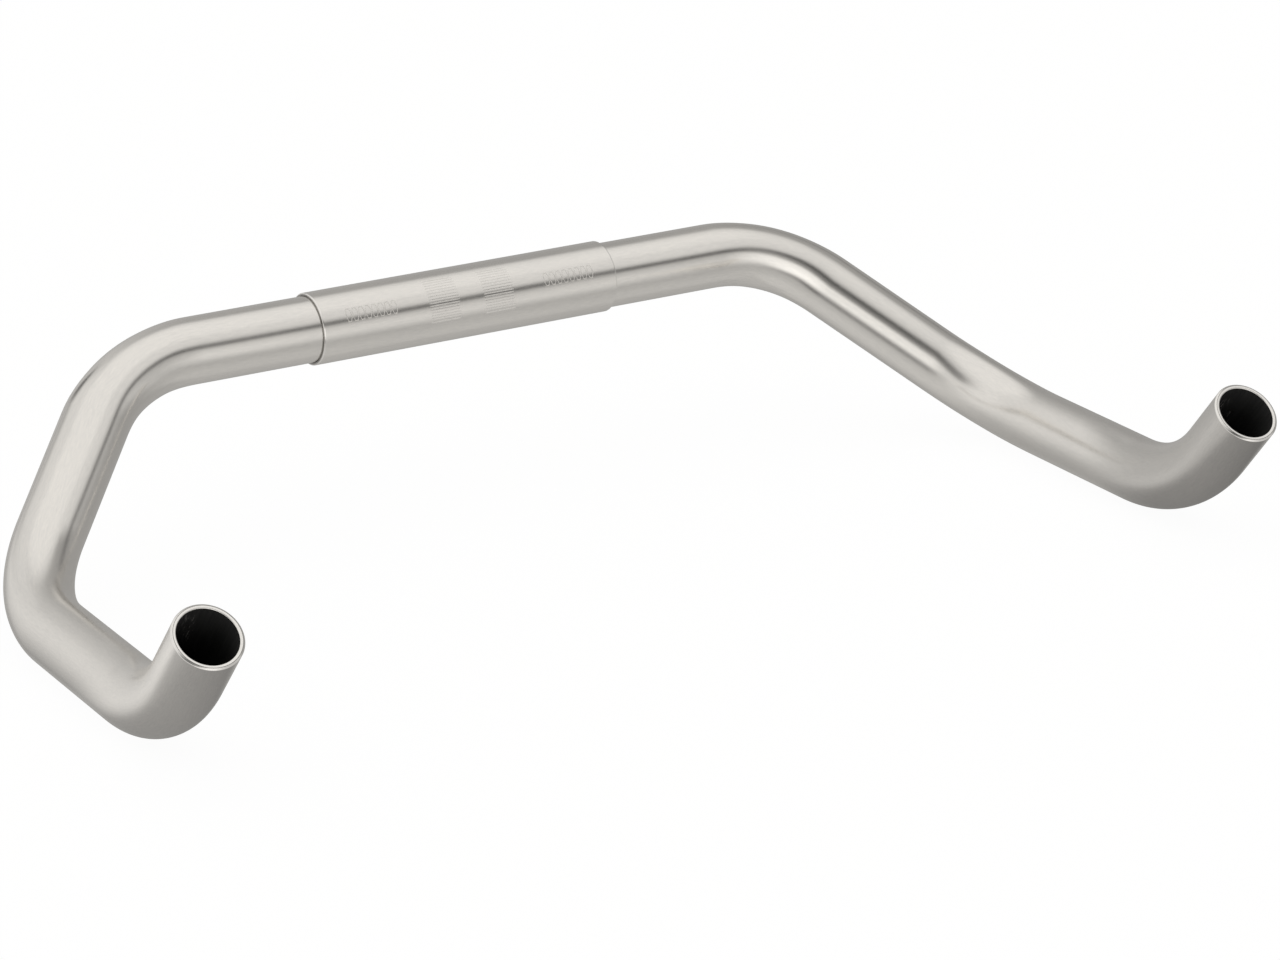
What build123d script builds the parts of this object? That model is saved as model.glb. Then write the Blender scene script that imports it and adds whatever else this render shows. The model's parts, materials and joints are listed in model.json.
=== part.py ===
from build123d import *
import os
from math import cos, radians, sin

# A bullhorn handlebar bent from one aluminium tube, with a clamping sleeve pressed on its middle.
# Millimetres. The origin is the middle of the sleeve, on its axis. +X runs to the bar's right end
# along the tops, the arms and grips reach out along -Y, away from the rider, and +Z is up.

# Tube
tube_diameter = 23.8
wall = 1.8
rim_outer_bevel = 0.3
rim_inner_bevel = 0.5

# Clamping sleeve
clamp_diameter = 26.0
sleeve_length = 120.0
sleeve_bevel = 0.4

# Corners of the right half's centreline, where neighbouring straight runs would meet
tops_width = 267.0  # between the two corners where the tops turn into the arms
grips_width_back = 398.0  # between the grips at the foot of the arms
grips_width_front = 402.0  # between the grips where the horns turn up
drop = 56.0  # from the tops down to the grips
arm_reach = 58.0  # forward from the tops to the foot of the arms
grip_reach = 169.5  # forward from the tops to the corner below the horns
horn_length = 51.0  # from that corner to the open end
horn_rise = radians(51.0)  # of the horns above the grips
bend_radius = 57.0  # of every bend, to the centreline

tube_radius = tube_diameter / 2
bore_radius = tube_radius - wall
clamp_radius = clamp_diameter / 2

middle = Vector(0, 0, 0)
tops_corner = Vector(tops_width / 2, 0, 0)
arm_corner = Vector(grips_width_back / 2, -arm_reach, -drop)
grip_corner = Vector(grips_width_front / 2, -grip_reach, -drop)
horn_end = grip_corner + Vector(0, -cos(horn_rise), sin(horn_rise)) * horn_length

# The tube's right half is swept from the middle to the open end, finished there and mirrored
with BuildPart() as handlebar_tube:
    with BuildLine():
        FilletPolyline(middle, tops_corner, arm_corner, grip_corner, horn_end, radius=bend_radius)
    with BuildSketch(Plane.YZ):
        Circle(tube_radius)
        Circle(bore_radius, mode=Mode.SUBTRACT)
    sweep()
    rim = faces().filter_by(GeomType.PLANE).sort_by(Axis.X)[-1]
    chamfer(rim.outer_wire().edges(), length=rim_outer_bevel)
    chamfer(rim.inner_wires()[0].edges(), length=rim_inner_bevel)
    mirror(about=Plane.YZ)

# The sleeve is a plain ring, face to face with the tube inside it
with BuildPart() as centre_sleeve:
    with BuildSketch(Plane.YZ):
        Circle(clamp_radius)
        Circle(tube_radius, mode=Mode.SUBTRACT)
    extrude(amount=sleeve_length / 2, both=True)
    outer_edges = edges().filter_by(GeomType.CIRCLE).sort_by(SortBy.RADIUS)[-2:]
    chamfer(outer_edges, length=sleeve_bevel)

handlebar_tube.part.label = "handlebar_tube"
centre_sleeve.part.label = "centre_sleeve"

os.makedirs("parts", exist_ok=True)
export_step(handlebar_tube.part, "parts/handlebar_tube.step")
export_step(centre_sleeve.part, "parts/centre_sleeve.step")
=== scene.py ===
import json
from math import ceil, cos, pi, radians, sin

import bpy
import numpy as np
from mathutils import Matrix, Vector


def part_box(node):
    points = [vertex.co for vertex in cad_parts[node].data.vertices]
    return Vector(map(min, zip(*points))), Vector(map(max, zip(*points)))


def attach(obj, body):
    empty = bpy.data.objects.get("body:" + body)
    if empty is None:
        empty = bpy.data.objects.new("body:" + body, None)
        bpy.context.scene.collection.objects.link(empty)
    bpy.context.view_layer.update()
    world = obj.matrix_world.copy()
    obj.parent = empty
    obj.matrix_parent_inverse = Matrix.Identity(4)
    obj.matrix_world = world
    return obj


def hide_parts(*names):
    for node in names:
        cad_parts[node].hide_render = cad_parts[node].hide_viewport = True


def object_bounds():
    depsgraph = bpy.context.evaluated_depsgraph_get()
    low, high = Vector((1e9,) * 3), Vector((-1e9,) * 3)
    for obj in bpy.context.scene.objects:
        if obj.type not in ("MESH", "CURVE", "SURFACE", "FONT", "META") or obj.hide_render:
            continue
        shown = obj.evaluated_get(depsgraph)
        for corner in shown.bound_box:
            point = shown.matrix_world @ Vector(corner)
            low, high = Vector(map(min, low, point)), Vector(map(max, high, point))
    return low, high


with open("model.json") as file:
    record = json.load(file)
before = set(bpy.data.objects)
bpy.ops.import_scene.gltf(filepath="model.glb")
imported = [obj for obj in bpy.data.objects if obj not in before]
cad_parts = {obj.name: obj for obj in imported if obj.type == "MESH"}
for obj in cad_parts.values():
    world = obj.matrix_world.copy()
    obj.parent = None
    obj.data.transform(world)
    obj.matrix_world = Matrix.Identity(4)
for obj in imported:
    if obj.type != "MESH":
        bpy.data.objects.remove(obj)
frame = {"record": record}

cad_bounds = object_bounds()

MM = 0.001
FRONT = Vector((0, -1, 0))
UP = Vector((0, 0, 1))

# Camera: azimuth 0 looks along +Y, and the aim is given from the middle of the sleeve
VIEW_AZIMUTH = radians(-31.70)
VIEW_ELEVATION = radians(20.44)
VIEW_ROLL = radians(0.41)
VIEW_DISTANCE = 1.7116
AIM_RIGHT = 0.0661
AIM_DOWN = 0.0638
FOCAL_LENGTH = 134.1
SENSOR_WIDTH = 36.0

FLOOR_HALF_WIDTH = 15.0
FLOOR_DROP = 0.2 * MM  # from the lowest point of the bar, so that the two do not touch
FLOOR_GLOW = 0.945
FLOOR_PAPER = 0.08
BACKDROP = 0.98  # the level that the camera sees behind everything

# Tube
SIDES = 128
RING_STEP = 1.0 * MM
BORE_RING_EVERY = 3
RIM_CHAMFER = 0.62 * MM
RIM_CHAMFER_LEAN = radians(55.0)
RIM_FIRST_ROUND = 0.32 * MM
RIM_SECOND_ROUND = 0.30 * MM
RIM_INNER_ROUND = 0.45 * MM
EDGE_SUPPORT = 0.25 * MM
BEND_FLATTENING = (0.030, 0.014, 0.0)
BEND_WIDENING = 0.6  # how much a bend widens sideways, as a share of its flattening
BEND_EASE = 3  # a bend reaches its full flattening over its first third, and loses it over its last
RIM_LOOP_STEP = 0.1 * MM  # along the skin's UV map, from one loop of the rim to the next
CLOSING_STEP = 1.0 * MM  # and from the last loop of a piece back to the first
SHARP_ANGLE = radians(20.0)

BLUE_LOSS = 1.6  # what a warm grey loses in blue, for each bit that it gains in red

# The satin gets duller between these two distances along the tube from its middle, in millimetres
SATIN_DULLS = (165.0, 225.0)

# Sleeve
SLEEVE_BEVEL = 0.4 * MM
SLEEVE_GAP = 0.15 * MM
SLEEVE_LOOP_STEP = 0.3 * MM  # along the UV map, from one loop of the sleeve's ends to the next
PLAIN_STEP = radians(3.0)

# Engraving on the sleeve: fine lines along it, at this pitch about its axis
LINE_PITCH = radians(5.0)
ENGRAVING_MIDDLE = radians(31.0)
LINES_EACH_SIDE = 7
GROOVE_DEPTH = 0.025 * MM
GROOVE_HALF_TOP = radians(0.9)
GROOVE_HALF_FLOOR = radians(0.6)
LAND_ANGLES = (radians(1.6), radians(2.5), radians(3.4))
HATCH_INNER = 5.0 * MM
HATCH_OUTER = 17.2 * MM
HATCH_RUNOUT = 0.9 * MM
CELL_COUNT = 8
CELL_PITCH = 2.6 * MM
CELL_ROW_MIDDLE = 40.3 * MM
CELL_HALF_WIDTH = 1.0 * MM
CELL_TIP_HALF_WIDTH = 0.5 * MM
CELL_STRAIGHT = radians(4.0)
CELL_TIP = radians(10.0)
CELL_DEPTH = 0.07 * MM
CELL_LINE_HALF_TOP = 0.16 * MM
CELL_LINE_HALF_FLOOR = 0.08 * MM
ANGLE_TOLERANCE = 1e-6


def mount(name):
    return next(m for m in frame["record"]["mounts"] if m["name"] == name)


def run_ends(name):
    """The two ends of one straight run of the tube, the inner end first."""
    run = mount(name)
    half = Vector(run["axis"]).normalized() * (run["dims"]["length_mm"] * MM / 2)
    middle = Vector(run["pos_m"])
    return middle - half, middle + half


CAD_RIM_BEVEL = 0.3 * MM
TUBE_RADIUS = mount("horn_clamp_right")["dims"]["r_mm"] * MM
BORE_RADIUS = mount("plug_bore_right")["dims"]["r_mm"] * MM


# ------------------------------------------------------------------ centreline

class Ring:
    """One place on the tube's centreline, with the two directions that its section is drawn in."""

    def __init__(self, place, front, up, along, bend_axis=None, flattening=0.0):
        self.place = place
        self.front = front
        self.up = up
        self.along = along
        self.bend_axis = bend_axis
        self.flattening = flattening

    def mirrored(self):
        flip = Matrix.Diagonal((-1, 1, 1))
        axis = self.bend_axis and flip @ self.bend_axis
        return Ring(flip @ self.place, flip @ self.front, flip @ self.up, -self.along, axis, self.flattening)

    def moved(self, distance):
        """The same ring further along a straight run."""
        tangent = self.up.cross(self.front)
        return Ring(self.place + tangent * distance, self.front, self.up, self.along + distance)

    def circle(self, radius, shift=0.0):
        """The section's points at a radius, and the same points on the tube unrolled straight."""
        tangent = self.up.cross(self.front)
        points, straight = [], []
        for k in range(SIDES):
            angle = 2 * pi * k / SIDES
            offset = (self.front * cos(angle) + self.up * sin(angle)) * radius
            if self.flattening:
                inward = self.bend_axis.cross(tangent)
                offset = offset - inward * (offset.dot(inward) * self.flattening)
                widening = offset.dot(self.bend_axis) * self.flattening * BEND_WIDENING
                offset = offset + self.bend_axis * widening
            points.append(self.place + offset + tangent * shift)
            straight.append((self.along + shift, radius * cos(angle), radius * sin(angle)))
        return points, straight


def bend_rings(start, end, direction, next_direction, ring, most_flattening):
    """Rings along the arc between two straight runs, and the ring that the next run starts from."""
    axis = direction.cross(next_direction).normalized()
    angle = direction.angle(next_direction)
    radius = (end - start).length / 2 / sin(angle / 2)
    centre = start + axis.cross(direction) * radius
    count = ceil(radius * angle / RING_STEP)
    made = []
    for k in range(count + 1):
        share = k / count
        turn = Matrix.Rotation(angle * share, 3, axis)
        ease = min(1.0, BEND_EASE * min(share, 1 - share))
        flattening = most_flattening * sin(pi / 2 * ease) ** 2
        made.append(Ring(centre + turn @ (start - centre), turn @ ring.front, turn @ ring.up,
                         ring.along + radius * angle * share, axis, flattening))
    return made


def tube_rings():
    """Rings from the left open end to the right one."""
    runs = [run_ends(name + "_right") for name in ("tops_run", "arm_run", "grip_run", "horn_clamp")]
    ring = Ring(Vector((0, 0, 0)), FRONT, UP, 0.0)
    half = [ring]
    for k, (start, end) in enumerate(runs):
        ring = ring.moved((end - ring.place).length)
        if k == len(runs) - 1:
            # The last ring is on the end plane. The rim's section starts a little before it
            edge = ring.moved(CAD_RIM_BEVEL)
            half += [edge.moved(rim_profile()[0][1] - EDGE_SUPPORT), edge]
            break
        direction = (end - start).normalized()
        next_direction = (runs[k + 1][1] - runs[k + 1][0]).normalized()
        bend = bend_rings(end, runs[k + 1][0], direction, next_direction, ring, BEND_FLATTENING[k])
        half += bend
        ring = bend[-1]
    return [r.mirrored() for r in reversed(half[1:])] + half


# ------------------------------------------------------------------ meshes

OUTSIDE, CUT, INSIDE, ENGRAVED, END_FACE = range(5)


def arc(centre, radius, start, end, count=5):
    """Points of a section from one normal direction to another. Direction 0 points away from the tube's axis,
    and a quarter turn on it points out of the tube's end."""
    angles = [start + (end - start) * k / count for k in range(count + 1)]
    return [(centre[0] + radius * cos(t), centre[1] + radius * sin(t)) for t in angles]


def rim_profile():
    """(radius, distance past the end plane, kind) over the rim: a leaning chamfer, a dull ridge, the flat end
    and a rounded inner edge."""
    outer = arc((TUBE_RADIUS - RIM_FIRST_ROUND, 0.0), RIM_FIRST_ROUND, 0.0, RIM_CHAMFER_LEAN)
    r, z = outer[-1]
    r -= RIM_CHAMFER * sin(RIM_CHAMFER_LEAN) + RIM_SECOND_ROUND * cos(RIM_CHAMFER_LEAN)
    z += RIM_CHAMFER * cos(RIM_CHAMFER_LEAN) - RIM_SECOND_ROUND * sin(RIM_CHAMFER_LEAN)
    ridge = arc((r, z), RIM_SECOND_ROUND, RIM_CHAMFER_LEAN, pi / 2)
    end = ridge[-1][1]
    inner = arc((BORE_RADIUS + RIM_INNER_ROUND, end - RIM_INNER_ROUND), RIM_INNER_ROUND, pi / 2, pi, 7)
    kinds = [CUT] * len(outer) + [ENGRAVED] * (len(ridge) - 1) + [CUT] * (1 + len(inner))
    return [(radius, along - end, kind) for (radius, along), kind in zip(outer + ridge + inner, kinds)]


def loop_mesh(name, loops, kinds, materials, cut=()):
    """A closed skin from loops of equal length. Each loop has points, unrolled points and a distance along
    the skin, and the faces from it to the next loop take its kind of material. Faces that touch a cut point
    are engraved."""
    count = len(loops[0][0])
    points = [p for loop in loops for p in loop[0]]
    straight = [p for loop in loops for p in loop[1]]
    cut = set(cut)
    faces, slots, corners = [], [], []
    for n in range(len(loops)):
        after = (n + 1) % len(loops)
        u0, u1 = loops[n][2], loops[after][2] if after else loops[n][2] + CLOSING_STEP
        for k in range(count):
            step = (k + 1) % count
            face = (n * count + k, after * count + k, after * count + step, n * count + step)
            faces.append(face)
            slots.append(kinds[n] if cut.isdisjoint(face) else ENGRAVED)
            v0, v1 = k / count, (k + 1) / count
            corners += [(u0, v0), (u1, v0), (u1, v1), (u0, v1)]
    mesh = bpy.data.meshes.new(name)
    mesh.from_pydata([tuple(p) for p in points], [], faces)
    for material in materials:
        mesh.materials.append(material)
    mesh.polygons.foreach_set("material_index", slots)
    mesh.polygons.foreach_set("use_smooth", [True] * len(faces))
    layer = mesh.uv_layers.new(name="Skin")
    layer.data.foreach_set("uv", np.array(corners, np.float32).ravel())
    unrolled = mesh.attributes.new("unrolled", "FLOAT_VECTOR", "POINT")
    unrolled.data.foreach_set("vector", (np.array(straight, np.float32) / MM).ravel())
    mesh.update()
    mesh.set_sharp_from_angle(angle=SHARP_ANGLE)
    piece = bpy.data.objects.new(name, mesh)
    bpy.context.scene.collection.objects.link(piece)
    return piece


def make_tube(materials):
    rings = tube_rings()
    left, right = rings[0], rings[-1]
    profile = rim_profile()
    loops, kinds = [], []

    def add(ring, radius, shift, distance, kind):
        points, straight = ring.circle(radius, shift)
        loops.append((points, straight, distance))
        kinds.append(kind)

    for ring in rings[1:-1]:
        add(ring, TUBE_RADIUS, 0.0, ring.along, OUTSIDE)
    distance = right.along
    for radius, shift, kind in profile:
        distance += RIM_LOOP_STEP
        add(right, radius, shift, distance, kind)
    kinds[-1] = INSIDE
    for ring in reversed(rings[2:-2][::BORE_RING_EVERY]):
        add(ring, BORE_RADIUS, 0.0, distance + right.along - ring.along, INSIDE)
    distance += 2 * right.along
    # On the left the skin runs the other way, so a face takes the kind of the loop that it leads to
    kinds_back = [kind for _, _, kind in reversed(profile[:-1])] + [OUTSIDE]
    for (radius, shift, _), kind in zip(reversed(profile), kinds_back):
        distance += RIM_LOOP_STEP
        add(left, radius, -shift, distance, kind)
    return loop_mesh("bar_tube", loops, kinds, materials)


def sleeve_angles():
    """Angles about the sleeve, from the front up, closer together where it is engraved."""
    angles = []
    for n in range(-LINES_EACH_SIDE, LINES_EACH_SIDE + 1):
        line = ENGRAVING_MIDDLE + n * LINE_PITCH
        near = (-GROOVE_HALF_TOP, -GROOVE_HALF_FLOOR, GROOVE_HALF_FLOOR, GROOVE_HALF_TOP)
        angles += [line + a for a in near + LAND_ANGLES]
    rest = angles[0] + 2 * pi - angles[-1]
    count = ceil(rest / PLAIN_STEP)
    return angles + [angles[-1] + rest * k / count for k in range(1, count)]


def on_line(angle):
    """True on the floor of one of the engraved lines."""
    steps = (angle - ENGRAVING_MIDDLE) / LINE_PITCH
    nearest = round(steps)
    away = abs(steps - nearest) * LINE_PITCH
    return abs(nearest) <= LINES_EACH_SIDE and away < GROOVE_HALF_FLOOR + ANGLE_TOLERANCE


def cell_half_width(angle):
    """Half the width of one outlined cell at an angle: straight sides that taper to both tips."""
    away = min(abs(angle - ENGRAVING_MIDDLE), CELL_TIP)
    share = max(0.0, (away - CELL_STRAIGHT) / (CELL_TIP - CELL_STRAIGHT))
    return CELL_HALF_WIDTH + (CELL_TIP_HALF_WIDTH - CELL_HALF_WIDTH) * share


def on_cell(angle, side_floor, inside):
    """True where a cell's outline is cut: down its sides, and across at its tips."""
    away = abs(angle - ENGRAVING_MIDDLE)
    at_tip = abs(away - CELL_TIP) < GROOVE_HALF_FLOOR + ANGLE_TOLERANCE
    return (side_floor and away < CELL_TIP + GROOVE_HALF_FLOOR + ANGLE_TOLERANCE) or (inside and at_tip)


def sleeve_lines(half_length):
    """Lines round the sleeve from left to right, each a function from the angle to (x, depth), and the kinds
    of the faces that follow them."""
    lines, kinds = [], []

    def plain(x, kind=OUTSIDE):
        lines.append(lambda angle: (x, 0.0))
        kinds.append(kind)

    def hatch(x):
        lines.append(lambda angle: (x, GROOVE_DEPTH if on_line(angle) else 0.0))
        kinds.append(OUTSIDE)

    def cell(middle):
        for side in (-1, 1):
            for offset, floor, inside in ((-CELL_LINE_HALF_TOP, False, side > 0),
                                          (-CELL_LINE_HALF_FLOOR, True, side > 0),
                                          (CELL_LINE_HALF_FLOOR, True, side < 0),
                                          (CELL_LINE_HALF_TOP, False, side < 0)):
                lines.append(lambda angle, s=side, o=offset, f=floor, i=inside: (
                    middle + s * cell_half_width(angle) + o, CELL_DEPTH if on_cell(angle, f, i) else 0.0))
                kinds.append(OUTSIDE)

    def cell_row(middle):
        first = middle - CELL_PITCH * (CELL_COUNT - 1) / 2
        for n in range(CELL_COUNT):
            cell(first + n * CELL_PITCH)

    def hatch_patch(inner, outer):
        plain(inner - EDGE_SUPPORT)
        plain(inner)
        hatch(inner + HATCH_RUNOUT)
        hatch(outer - HATCH_RUNOUT)
        plain(outer)
        plain(outer + EDGE_SUPPORT)

    plain(-half_length + SLEEVE_BEVEL)
    plain(-half_length + SLEEVE_BEVEL + EDGE_SUPPORT)
    cell_row(-CELL_ROW_MIDDLE)
    hatch_patch(-HATCH_OUTER, -HATCH_INNER)
    plain(0.0)
    hatch_patch(HATCH_INNER, HATCH_OUTER)
    cell_row(CELL_ROW_MIDDLE)
    plain(half_length - SLEEVE_BEVEL - EDGE_SUPPORT)
    plain(half_length - SLEEVE_BEVEL, CUT)
    return lines, kinds


def make_sleeve(materials):
    low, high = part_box("centre_sleeve")
    half_length = high.x
    radius = high.z
    angles = sleeve_angles()
    lines, kinds = sleeve_lines(half_length)
    loops, cut = [], []

    def add(places, distance):
        points = [(x, -r * cos(a), r * sin(a)) for a, (x, r) in zip(angles, places)]
        straight = [(x, r * cos(a), r * sin(a)) for a, (x, r) in zip(angles, places)]
        loops.append((points, straight, distance))

    for line in lines:
        places = [line(a) for a in angles]
        cut += [len(loops) * len(angles) + k for k, (x, depth) in enumerate(places) if depth]
        add([(x, radius - depth) for x, depth in places], places[0][0])
    bevel, gap = SLEEVE_BEVEL, SLEEVE_GAP
    edge = [(x, r) for r, x in arc((radius - bevel, half_length - bevel), bevel, 0.0, pi / 2)[1:]]
    end = edge + [(half_length, TUBE_RADIUS + gap), (half_length - 2 * gap, TUBE_RADIUS)]
    kinds += [CUT] * (len(edge) - 1) + [END_FACE, END_FACE, INSIDE]
    kinds += [END_FACE, END_FACE] + [CUT] * len(edge)
    distance = half_length
    for x, r in end:
        distance += SLEEVE_LOOP_STEP
        add([(x, r)] * len(angles), distance)
    for x, r in reversed(end):
        distance += SLEEVE_LOOP_STEP
        add([(-x, r)] * len(angles), distance)
    return loop_mesh("clamp_sleeve", loops, kinds, materials, cut)


# ------------------------------------------------------------------ node trees

class Graph:
    """Short names for building a node tree."""

    def __init__(self, tree):
        self.tree = tree
        tree.nodes.clear()

    def node(self, kind, inputs=None, **settings):
        made = self.tree.nodes.new(kind)
        for key, value in settings.items():
            setattr(made, key, value)
        for key, value in (inputs or {}).items():
            self.feed(made.inputs[key], value)
        return made

    def feed(self, socket, value):
        if isinstance(value, bpy.types.NodeSocket):
            self.tree.links.new(value, socket)
        else:
            socket.default_value = value

    def math(self, operation, *values):
        return self.node("ShaderNodeMath", dict(enumerate(values)), operation=operation).outputs[0]

    def span(self, value, low, high, to_low=0.0, to_high=1.0, kind="SMOOTHSTEP"):
        inputs = {"Value": value, "From Min": low, "From Max": high, "To Min": to_low, "To Max": to_high}
        return self.node("ShaderNodeMapRange", inputs, interpolation_type=kind).outputs["Result"]

    def mix(self, share, a, b):
        made = self.node("ShaderNodeMix", data_type="RGBA")
        for name, value in (("Factor_Float", share), ("A_Color", a), ("B_Color", b)):
            self.feed(next(s for s in made.inputs if s.identifier == name), value)
        return next(s for s in made.outputs if s.identifier == "Result_Color")

    def total(self, *terms):
        """The sum of (value, weight) terms."""
        summed = 0.0
        for value, weight in terms:
            summed = self.math("MULTIPLY_ADD", value, weight, summed)
        return summed

    def noise(self, coordinates, stretch, detail=2.0, roughness=0.5, offset=(0, 0, 0)):
        """Noise in the unrolled coordinates, with this many cells per millimetre each way."""
        placed = self.node("ShaderNodeMapping", {"Vector": coordinates, "Scale": stretch, "Location": offset})
        inputs = {"Vector": placed.outputs[0], "Scale": 1.0, "Detail": detail, "Roughness": roughness}
        return self.node("ShaderNodeTexNoise", inputs, noise_dimensions="3D").outputs["Fac"]


def new_material(name):
    material = bpy.data.materials.new(name)
    material.use_nodes = True
    graph = Graph(material.node_tree)
    unrolled = graph.node("ShaderNodeAttribute", attribute_name="unrolled").outputs["Vector"]
    shader = graph.node("ShaderNodeBsdfPrincipled")
    graph.node("ShaderNodeOutputMaterial", {"Surface": shader.outputs[0]})
    return material, graph, unrolled, shader


def grey(level, warmth=0.0):
    """A grey whose red is raised, and its blue lowered, by its warmth."""
    return (level * (1 + warmth), level, level * (1 - BLUE_LOSS * warmth), 1.0)


def satin_aluminium(name, offset):
    """Drawn tube, brushed along its length, etched satin and clear anodised, and duller towards the grips."""
    material, graph, unrolled, shader = new_material(name)
    drawn = graph.noise(unrolled, (0.012, 0.8, 0.8), 4.0, 0.6, offset)
    satin = graph.noise(unrolled, (0.35, 2.0, 2.0), 2.0, 0.6, offset)
    fine = graph.noise(unrolled, (0.5, 7.0, 7.0), 2.0, 0.6, offset)
    cloudy = graph.noise(unrolled, (0.02, 0.05, 0.05), 2.0, 0.5, offset)
    grain = graph.total((drawn, 0.16), (satin, 0.62), (fine, 0.22))
    tone = graph.total((grain, 0.75), (cloudy, 0.25))
    colour = graph.mix(graph.span(tone, 0.35, 0.65, kind="LINEAR"), grey(0.80, 0.022), grey(0.88, 0.028))
    along = graph.node("ShaderNodeSeparateXYZ", {0: unrolled}).outputs["X"]
    dull = graph.span(graph.math("ABSOLUTE", along), *SATIN_DULLS)
    rough = graph.total((graph.span(fine, 0.3, 0.7, -0.02, 0.02, "LINEAR"), 1.0),
                        (graph.span(cloudy, 0.3, 0.7, 0.165, 0.195, "LINEAR"), 1.0), (dull, 0.055))
    bump = graph.node("ShaderNodeBump", {"Height": grain, "Strength": 1.0, "Distance": 0.005 * MM})
    graph.feed(shader.inputs["Base Color"], colour)
    graph.feed(shader.inputs["Roughness"], rough)
    graph.feed(shader.inputs["Normal"], bump.outputs[0])
    shader.inputs["Metallic"].default_value = 1.0
    return material


def matt_aluminium(name, dark, light):
    """Engraved lines, the ridge round the rims, and the end faces of the sleeve: matt, with small burrs."""
    material, graph, unrolled, shader = new_material(name)
    burr = graph.noise(unrolled, (3.0, 3.0, 3.0), 2.0, 0.6)
    colour = graph.mix(graph.span(burr, 0.3, 0.7), grey(dark, 0.024), grey(light, 0.024))
    graph.feed(shader.inputs["Base Color"], colour)
    graph.feed(shader.inputs["Roughness"], graph.span(burr, 0.3, 0.7, 0.38, 0.48, "LINEAR"))
    bump = graph.node("ShaderNodeBump", {"Height": burr, "Strength": 1.0, "Distance": 0.01 * MM})
    graph.feed(shader.inputs["Normal"], bump.outputs[0])
    shader.inputs["Metallic"].default_value = 1.0
    return material


def cut_aluminium(name, offset):
    """Bright machined edges, with fine turning marks round the axis."""
    material, graph, unrolled, shader = new_material(name)
    marks = graph.noise(unrolled, (14.0, 0.5, 0.5), 2.0, 0.6, offset)
    nicks = graph.noise(unrolled, (2.0, 2.0, 2.0), 3.0, 0.6, offset)
    worn = graph.span(nicks, 0.55, 0.75)
    graph.feed(shader.inputs["Base Color"], graph.mix(worn, grey(0.90, 0.020), grey(0.80, 0.02)))
    rough = graph.math("ADD", graph.span(marks, 0.3, 0.7, 0.0, 0.08, "LINEAR"),
                       graph.span(worn, 0.0, 1.0, 0.10, 0.18, "LINEAR"))
    graph.feed(shader.inputs["Roughness"], rough)
    bump = graph.node("ShaderNodeBump", {"Height": marks, "Strength": 1.0, "Distance": 0.006 * MM})
    graph.feed(shader.inputs["Normal"], bump.outputs[0])
    shader.inputs["Metallic"].default_value = 1.0
    return material


def dark_bore(name):
    """The unfinished inside: dark greys that are partly dull oxide and partly painted shade of the tube's
    dark hollow, with draw marks, and brighter scuffs in a few places.
    """
    material, graph, unrolled, shader = new_material(name)
    drawn = graph.noise(unrolled, (0.05, 1.4, 1.4), 4.0, 0.65)
    scratch = graph.span(graph.noise(unrolled, (0.25, 2.2, 2.2), 3.0, 0.7, (7, 3, 1)), 0.56, 0.68)
    patch = graph.span(graph.noise(unrolled, (0.05, 0.11, 0.11), 1.0, 0.5, (2, 5, 8)), 0.58, 0.66)
    scuff = graph.math("MULTIPLY", scratch, patch)
    # Painted shade: this dark base colour stands partly for the oxide of the inside and partly for the shade
    # deep in the tube
    dull = graph.mix(graph.span(drawn, 0.35, 0.65), grey(0.046), grey(0.062, 0.01))
    graph.feed(shader.inputs["Base Color"], graph.mix(scuff, dull, grey(0.5, 0.02)))
    graph.feed(shader.inputs["Roughness"], graph.span(drawn, 0.3, 0.7, 0.46, 0.62, "LINEAR"))
    bump = graph.node("ShaderNodeBump", {"Height": drawn, "Strength": 1.0, "Distance": 0.02 * MM})
    graph.feed(shader.inputs["Normal"], bump.outputs[0])
    shader.inputs["Metallic"].default_value = 0.5
    return material


# ------------------------------------------------------------------ studio

# Panels of the light tent and the dark gaps between them, each laid over the ones before it: level, azimuth
# and elevation limits in degrees, and how softly the two limits of each fade. Azimuth is from the front
# towards +X.
GAP = 0.025
LIGHT_TENT = {
    "right_wall": (0.35, (70, 175), (-95, 45), (10, 40), (5, 5)),
    "back_wall": (0.20, (-200, -175), (-95, 30), (5, 10), (5, 40)),
    "left_panel": (0.90, (-100, -85), (-55, 100), (20, 40), (5, 5)),
    "table_fill": (0.60, (-130, 85), (-110, -35), (30, 10), (5, 30)),
    "front_window": (1.00, (-35, 45), (-15, 20), (10, 10), (15, 5)),
    "window_middle": (1.45, (-45, -5), (-20, -5), (10, 15), (5, 10)),
    "window_edge": (0.10, (25, 50), (-10, 30), (20, 40), (40, 5)),
    "overhead": (0.85, (-260, 260), (55, 110), (5, 5), (5, 5)),
    "gap_under_overhead": (GAP, (-65, 20), (15, 30), (10, 35), (5, 25)),
    "gap_on_the_right": (GAP, (20, 120), (20, 25), (10, 40), (5, 5)),
    "gap_middle": (GAP, (-50, 20), (25, 35), (40, 15), (5, 5)),
    "gap_under_window": (GAP, (-55, -20), (-30, -15), (10, 40), (5, 15)),
    "low_left": (0.60, (-190, -65), (-95, -50), (20, 10), (40, 30)),
    "low_back": (0.50, (10, 200), (-110, -50), (15, 5), (5, 40)),
    "gap_behind_left": (GAP, (-250, -170), (10, 25), (5, 10), (5, 5)),
}
TENT_WARMTH = 0.016

# The room where no panel covers it: its level low down and high up, and the elevations in degrees between
# which it changes
ROOM_LOW = 0.21
ROOM_HIGH = 0.74
ROOM_RISE = (-60, 10)
ROOM_WARMTH = 0.014
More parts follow.
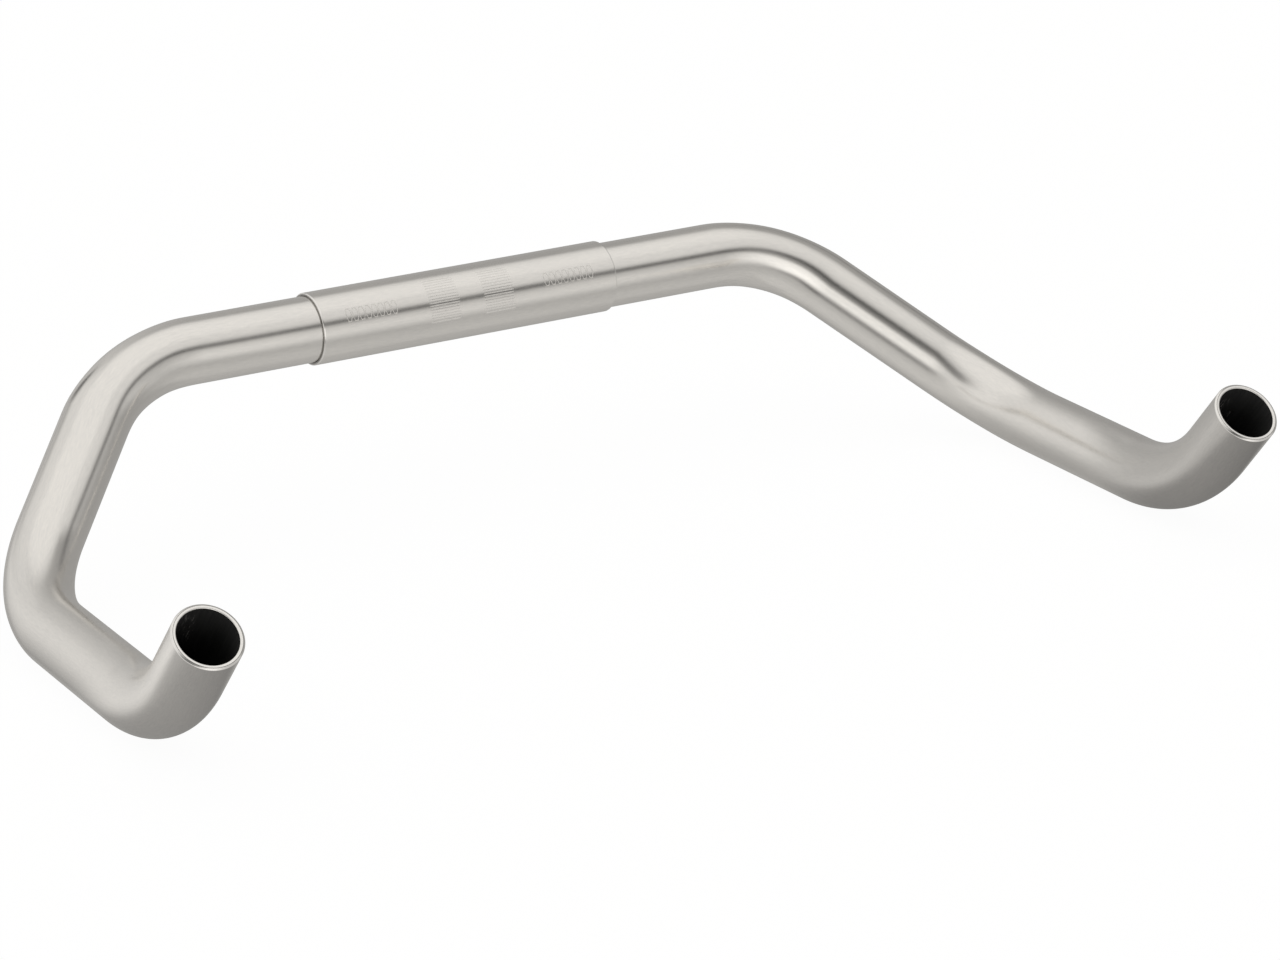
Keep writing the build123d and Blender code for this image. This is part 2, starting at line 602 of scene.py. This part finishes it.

# Stage cards below and behind each horn, seen only in that horn's own reflections. The cards below are
# painted shade: dark sheets that stand in for the shaded table under each horn.
SHADE_CARDS_BELOW = {"left": (0.33, 0.22), "right": (0.255, 0.18)}  # level on the left and on the right of the card
CARDS_BEHIND = {"left": (0.94, 0.50), "right": (0.50, 0.39)}
CARD_GRADE = 40 * MM  # from the card's middle to where it has the level of that side
CARD_SLANT = (0.40, 0.62)  # how far from head-on a ray may meet a card: full, and none
BELOW_DROP = 7 * MM
BELOW_FADE = (40 * MM, 85 * MM)  # distance from the card's middle: full, and none
BELOW_REACH = (0.0, 1 * MM, 85 * MM, 115 * MM)  # length of ray: none, full, full, and none
BEHIND_AZIMUTH = radians(-160.0)
BEHIND_DISTANCE = 95 * MM
BEHIND_FADE = (32 * MM, 80 * MM)
BEHIND_REACH = (25 * MM, 60 * MM, 112 * MM, 145 * MM)


def make_world():
    """A pale light tent round the bar, plain white to the camera."""
    world = bpy.data.worlds.new("light_tent")
    world.use_nodes = True
    bpy.context.scene.world = world
    g = Graph(world.node_tree)
    direction = g.node("ShaderNodeTexCoord").outputs["Generated"]
    x, y, z = g.node("ShaderNodeSeparateXYZ", {0: direction}).outputs
    azimuth = g.math("MULTIPLY", g.math("ARCTAN2", x, g.math("MULTIPLY", y, -1.0)), 180 / pi)
    elevation = g.math("MULTIPLY", g.math("ARCSINE", z), 180 / pi)

    def between(value, limits, soft):
        rise = g.span(value, limits[0] - soft[0], limits[0] + soft[0])
        fall = g.span(value, limits[1] - soft[1], limits[1] + soft[1], 1.0, 0.0)
        return g.math("MULTIPLY", rise, fall)

    colour = g.mix(g.span(elevation, *ROOM_RISE), grey(ROOM_LOW, ROOM_WARMTH), grey(ROOM_HIGH, ROOM_WARMTH))
    for level, across, upward, soft_across, soft_upward in LIGHT_TENT.values():
        share = g.math("MULTIPLY", between(azimuth, across, soft_across),
                       between(elevation, upward, soft_upward))
        colour = g.mix(share, colour, grey(level, TENT_WARMTH))

    seen = g.node("ShaderNodeLightPath").outputs["Is Camera Ray"]
    shown = g.mix(seen, colour, grey(BACKDROP))
    background = g.node("ShaderNodeBackground", {"Color": shown, "Strength": 1.0})
    g.node("ShaderNodeOutputWorld", {"Surface": background.outputs[0]})


def make_floor(height):
    """A pale table. It shows the bar's faint shadow, and the metal reflects the light tent instead of it."""
    mesh = bpy.data.meshes.new("floor")
    w = FLOOR_HALF_WIDTH
    mesh.from_pydata([(-w, -w, height), (w, -w, height), (w, w, height), (-w, w, height)], [], [(0, 1, 2, 3)])
    floor = bpy.data.objects.new("floor", mesh)
    bpy.context.scene.collection.objects.link(floor)
    material = bpy.data.materials.new("pale_table")
    material.use_nodes = True
    g = Graph(material.node_tree)
    glow = g.node("ShaderNodeEmission", {"Color": grey(1.0), "Strength": FLOOR_GLOW})
    paper = g.node("ShaderNodeBsdfDiffuse", {"Color": grey(FLOOR_PAPER)})
    lit = g.node("ShaderNodeAddShader", {0: glow.outputs[0], 1: paper.outputs[0]})
    below = g.node("ShaderNodeNewGeometry").outputs["Backfacing"]
    clear = g.node("ShaderNodeBsdfTransparent")
    both = g.node("ShaderNodeMixShader", {0: below, 1: lit.outputs[0], 2: clear.outputs[0]})
    g.node("ShaderNodeOutputMaterial", {"Surface": both.outputs[0]})
    material.cycles.emission_sampling = "NONE"
    mesh.materials.append(material)
    floor.visible_glossy = False
    floor.visible_diffuse = False
    floor.visible_shadow = False


def make_card(name, middle, facing, levels, fade, reach):
    """A graded card that only glossy rays see, and only those that meet its front and have a length within
    its reach."""
    across = facing.orthogonal().normalized()
    upward = facing.cross(across).normalized()
    half = fade[1]
    mesh = bpy.data.meshes.new(name)
    corners = [middle + (across * a + upward * b) * half for a, b in ((-1, -1), (1, -1), (1, 1), (-1, 1))]
    mesh.from_pydata(corners, [], [(0, 1, 2, 3)])
    card = bpy.data.objects.new(name, mesh)
    bpy.context.scene.collection.objects.link(card)
    material = bpy.data.materials.new(name)
    material.use_nodes = True
    g = Graph(material.node_tree)
    geometry = g.node("ShaderNodeNewGeometry").outputs
    apart = g.node("ShaderNodeVectorMath", {0: geometry["Position"], 1: middle}, operation="DISTANCE")
    length = g.node("ShaderNodeLightPath").outputs["Ray Length"]
    in_reach = g.math("MULTIPLY", g.span(length, *reach[:2]), g.span(length, *reach[2:], 1.0, 0.0))
    slant = g.node("ShaderNodeLayerWeight", {"Blend": 0.5}).outputs["Facing"]
    in_front = g.math("SUBTRACT", 1.0, geometry["Backfacing"])
    head_on = g.math("MULTIPLY", g.span(slant, *CARD_SLANT, 1.0, 0.0), in_front)
    near_middle = g.span(apart.outputs["Value"], *fade, 1.0, 0.0)
    share = g.math("MULTIPLY", g.math("MULTIPLY", in_reach, head_on), near_middle)
    x = g.node("ShaderNodeSeparateXYZ", {0: geometry["Position"]}).outputs["X"]
    rightward = g.span(x, middle.x - CARD_GRADE, middle.x + CARD_GRADE, kind="LINEAR")
    tone = g.mix(rightward, grey(levels[0], ROOM_WARMTH), grey(levels[1], ROOM_WARMTH))
    glow = g.node("ShaderNodeEmission", {"Color": tone, "Strength": 1.0})
    clear = g.node("ShaderNodeBsdfTransparent")
    both = g.node("ShaderNodeMixShader", {0: share, 1: clear.outputs[0], 2: glow.outputs[0]})
    g.node("ShaderNodeOutputMaterial", {"Surface": both.outputs[0]})
    material.cycles.emission_sampling = "NONE"
    mesh.materials.append(material)
    card.visible_camera = False
    card.visible_diffuse = False
    card.visible_shadow = False


def make_camera():
    data = bpy.data.cameras.new("camera")
    data.sensor_width = SENSOR_WIDTH
    data.lens = FOCAL_LENGTH
    data.clip_end = 100.0
    camera = bpy.data.objects.new("camera", data)
    bpy.context.scene.collection.objects.link(camera)
    back = Vector((sin(VIEW_AZIMUTH) * cos(VIEW_ELEVATION), -cos(VIEW_AZIMUTH) * cos(VIEW_ELEVATION),
                   sin(VIEW_ELEVATION)))
    level = UP.cross(back).normalized()
    upright = back.cross(level)
    right = level * cos(VIEW_ROLL) + upright * sin(VIEW_ROLL)
    up = upright * cos(VIEW_ROLL) - level * sin(VIEW_ROLL)
    place = right * AIM_RIGHT - up * AIM_DOWN + back * VIEW_DISTANCE
    camera.matrix_world = Matrix.Translation(place) @ Matrix((right, up, back)).transposed().to_4x4()
    bpy.context.scene.camera = camera


# ------------------------------------------------------------------ scene

tube = make_tube([
    satin_aluminium("tube_satin", (0, 0, 0)),
    cut_aluminium("tube_cut_rim", (0, 0, 0)),
    dark_bore("tube_bore"),
    matt_aluminium("tube_rim_ridge", 0.20, 0.42),
])
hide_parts("handlebar_tube")
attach(tube, "root")

sleeve = make_sleeve([
    satin_aluminium("sleeve_satin", (11, 5, 3)),
    cut_aluminium("sleeve_cut_edge", (9, 4, 2)),
    dark_bore("sleeve_bore"),
    matt_aluminium("sleeve_engraved", 0.80, 0.88),
    matt_aluminium("sleeve_end_face", 0.30, 0.46),
])
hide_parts("centre_sleeve")
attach(sleeve, "root")

make_world()
make_floor(cad_bounds[0].z - FLOOR_DROP)
behind = Vector((sin(BEHIND_AZIMUTH), -cos(BEHIND_AZIMUTH), 0))
for side in ("left", "right"):
    horn = Vector(mount("horn_clamp_" + side)["pos_m"])
    under = Vector((horn.x, horn.y, cad_bounds[0].z - BELOW_DROP))
    # Painted shade: a dark card under each horn, which its underside reflects in place of the shaded table
    make_card("shade_card_below_" + side, under, UP, SHADE_CARDS_BELOW[side], BELOW_FADE, BELOW_REACH)
    make_card("card_behind_" + side, horn + behind * BEHIND_DISTANCE, -behind, CARDS_BEHIND[side],
              BEHIND_FADE, BEHIND_REACH)
make_camera()
bpy.context.scene.view_settings.view_transform = "Standard"
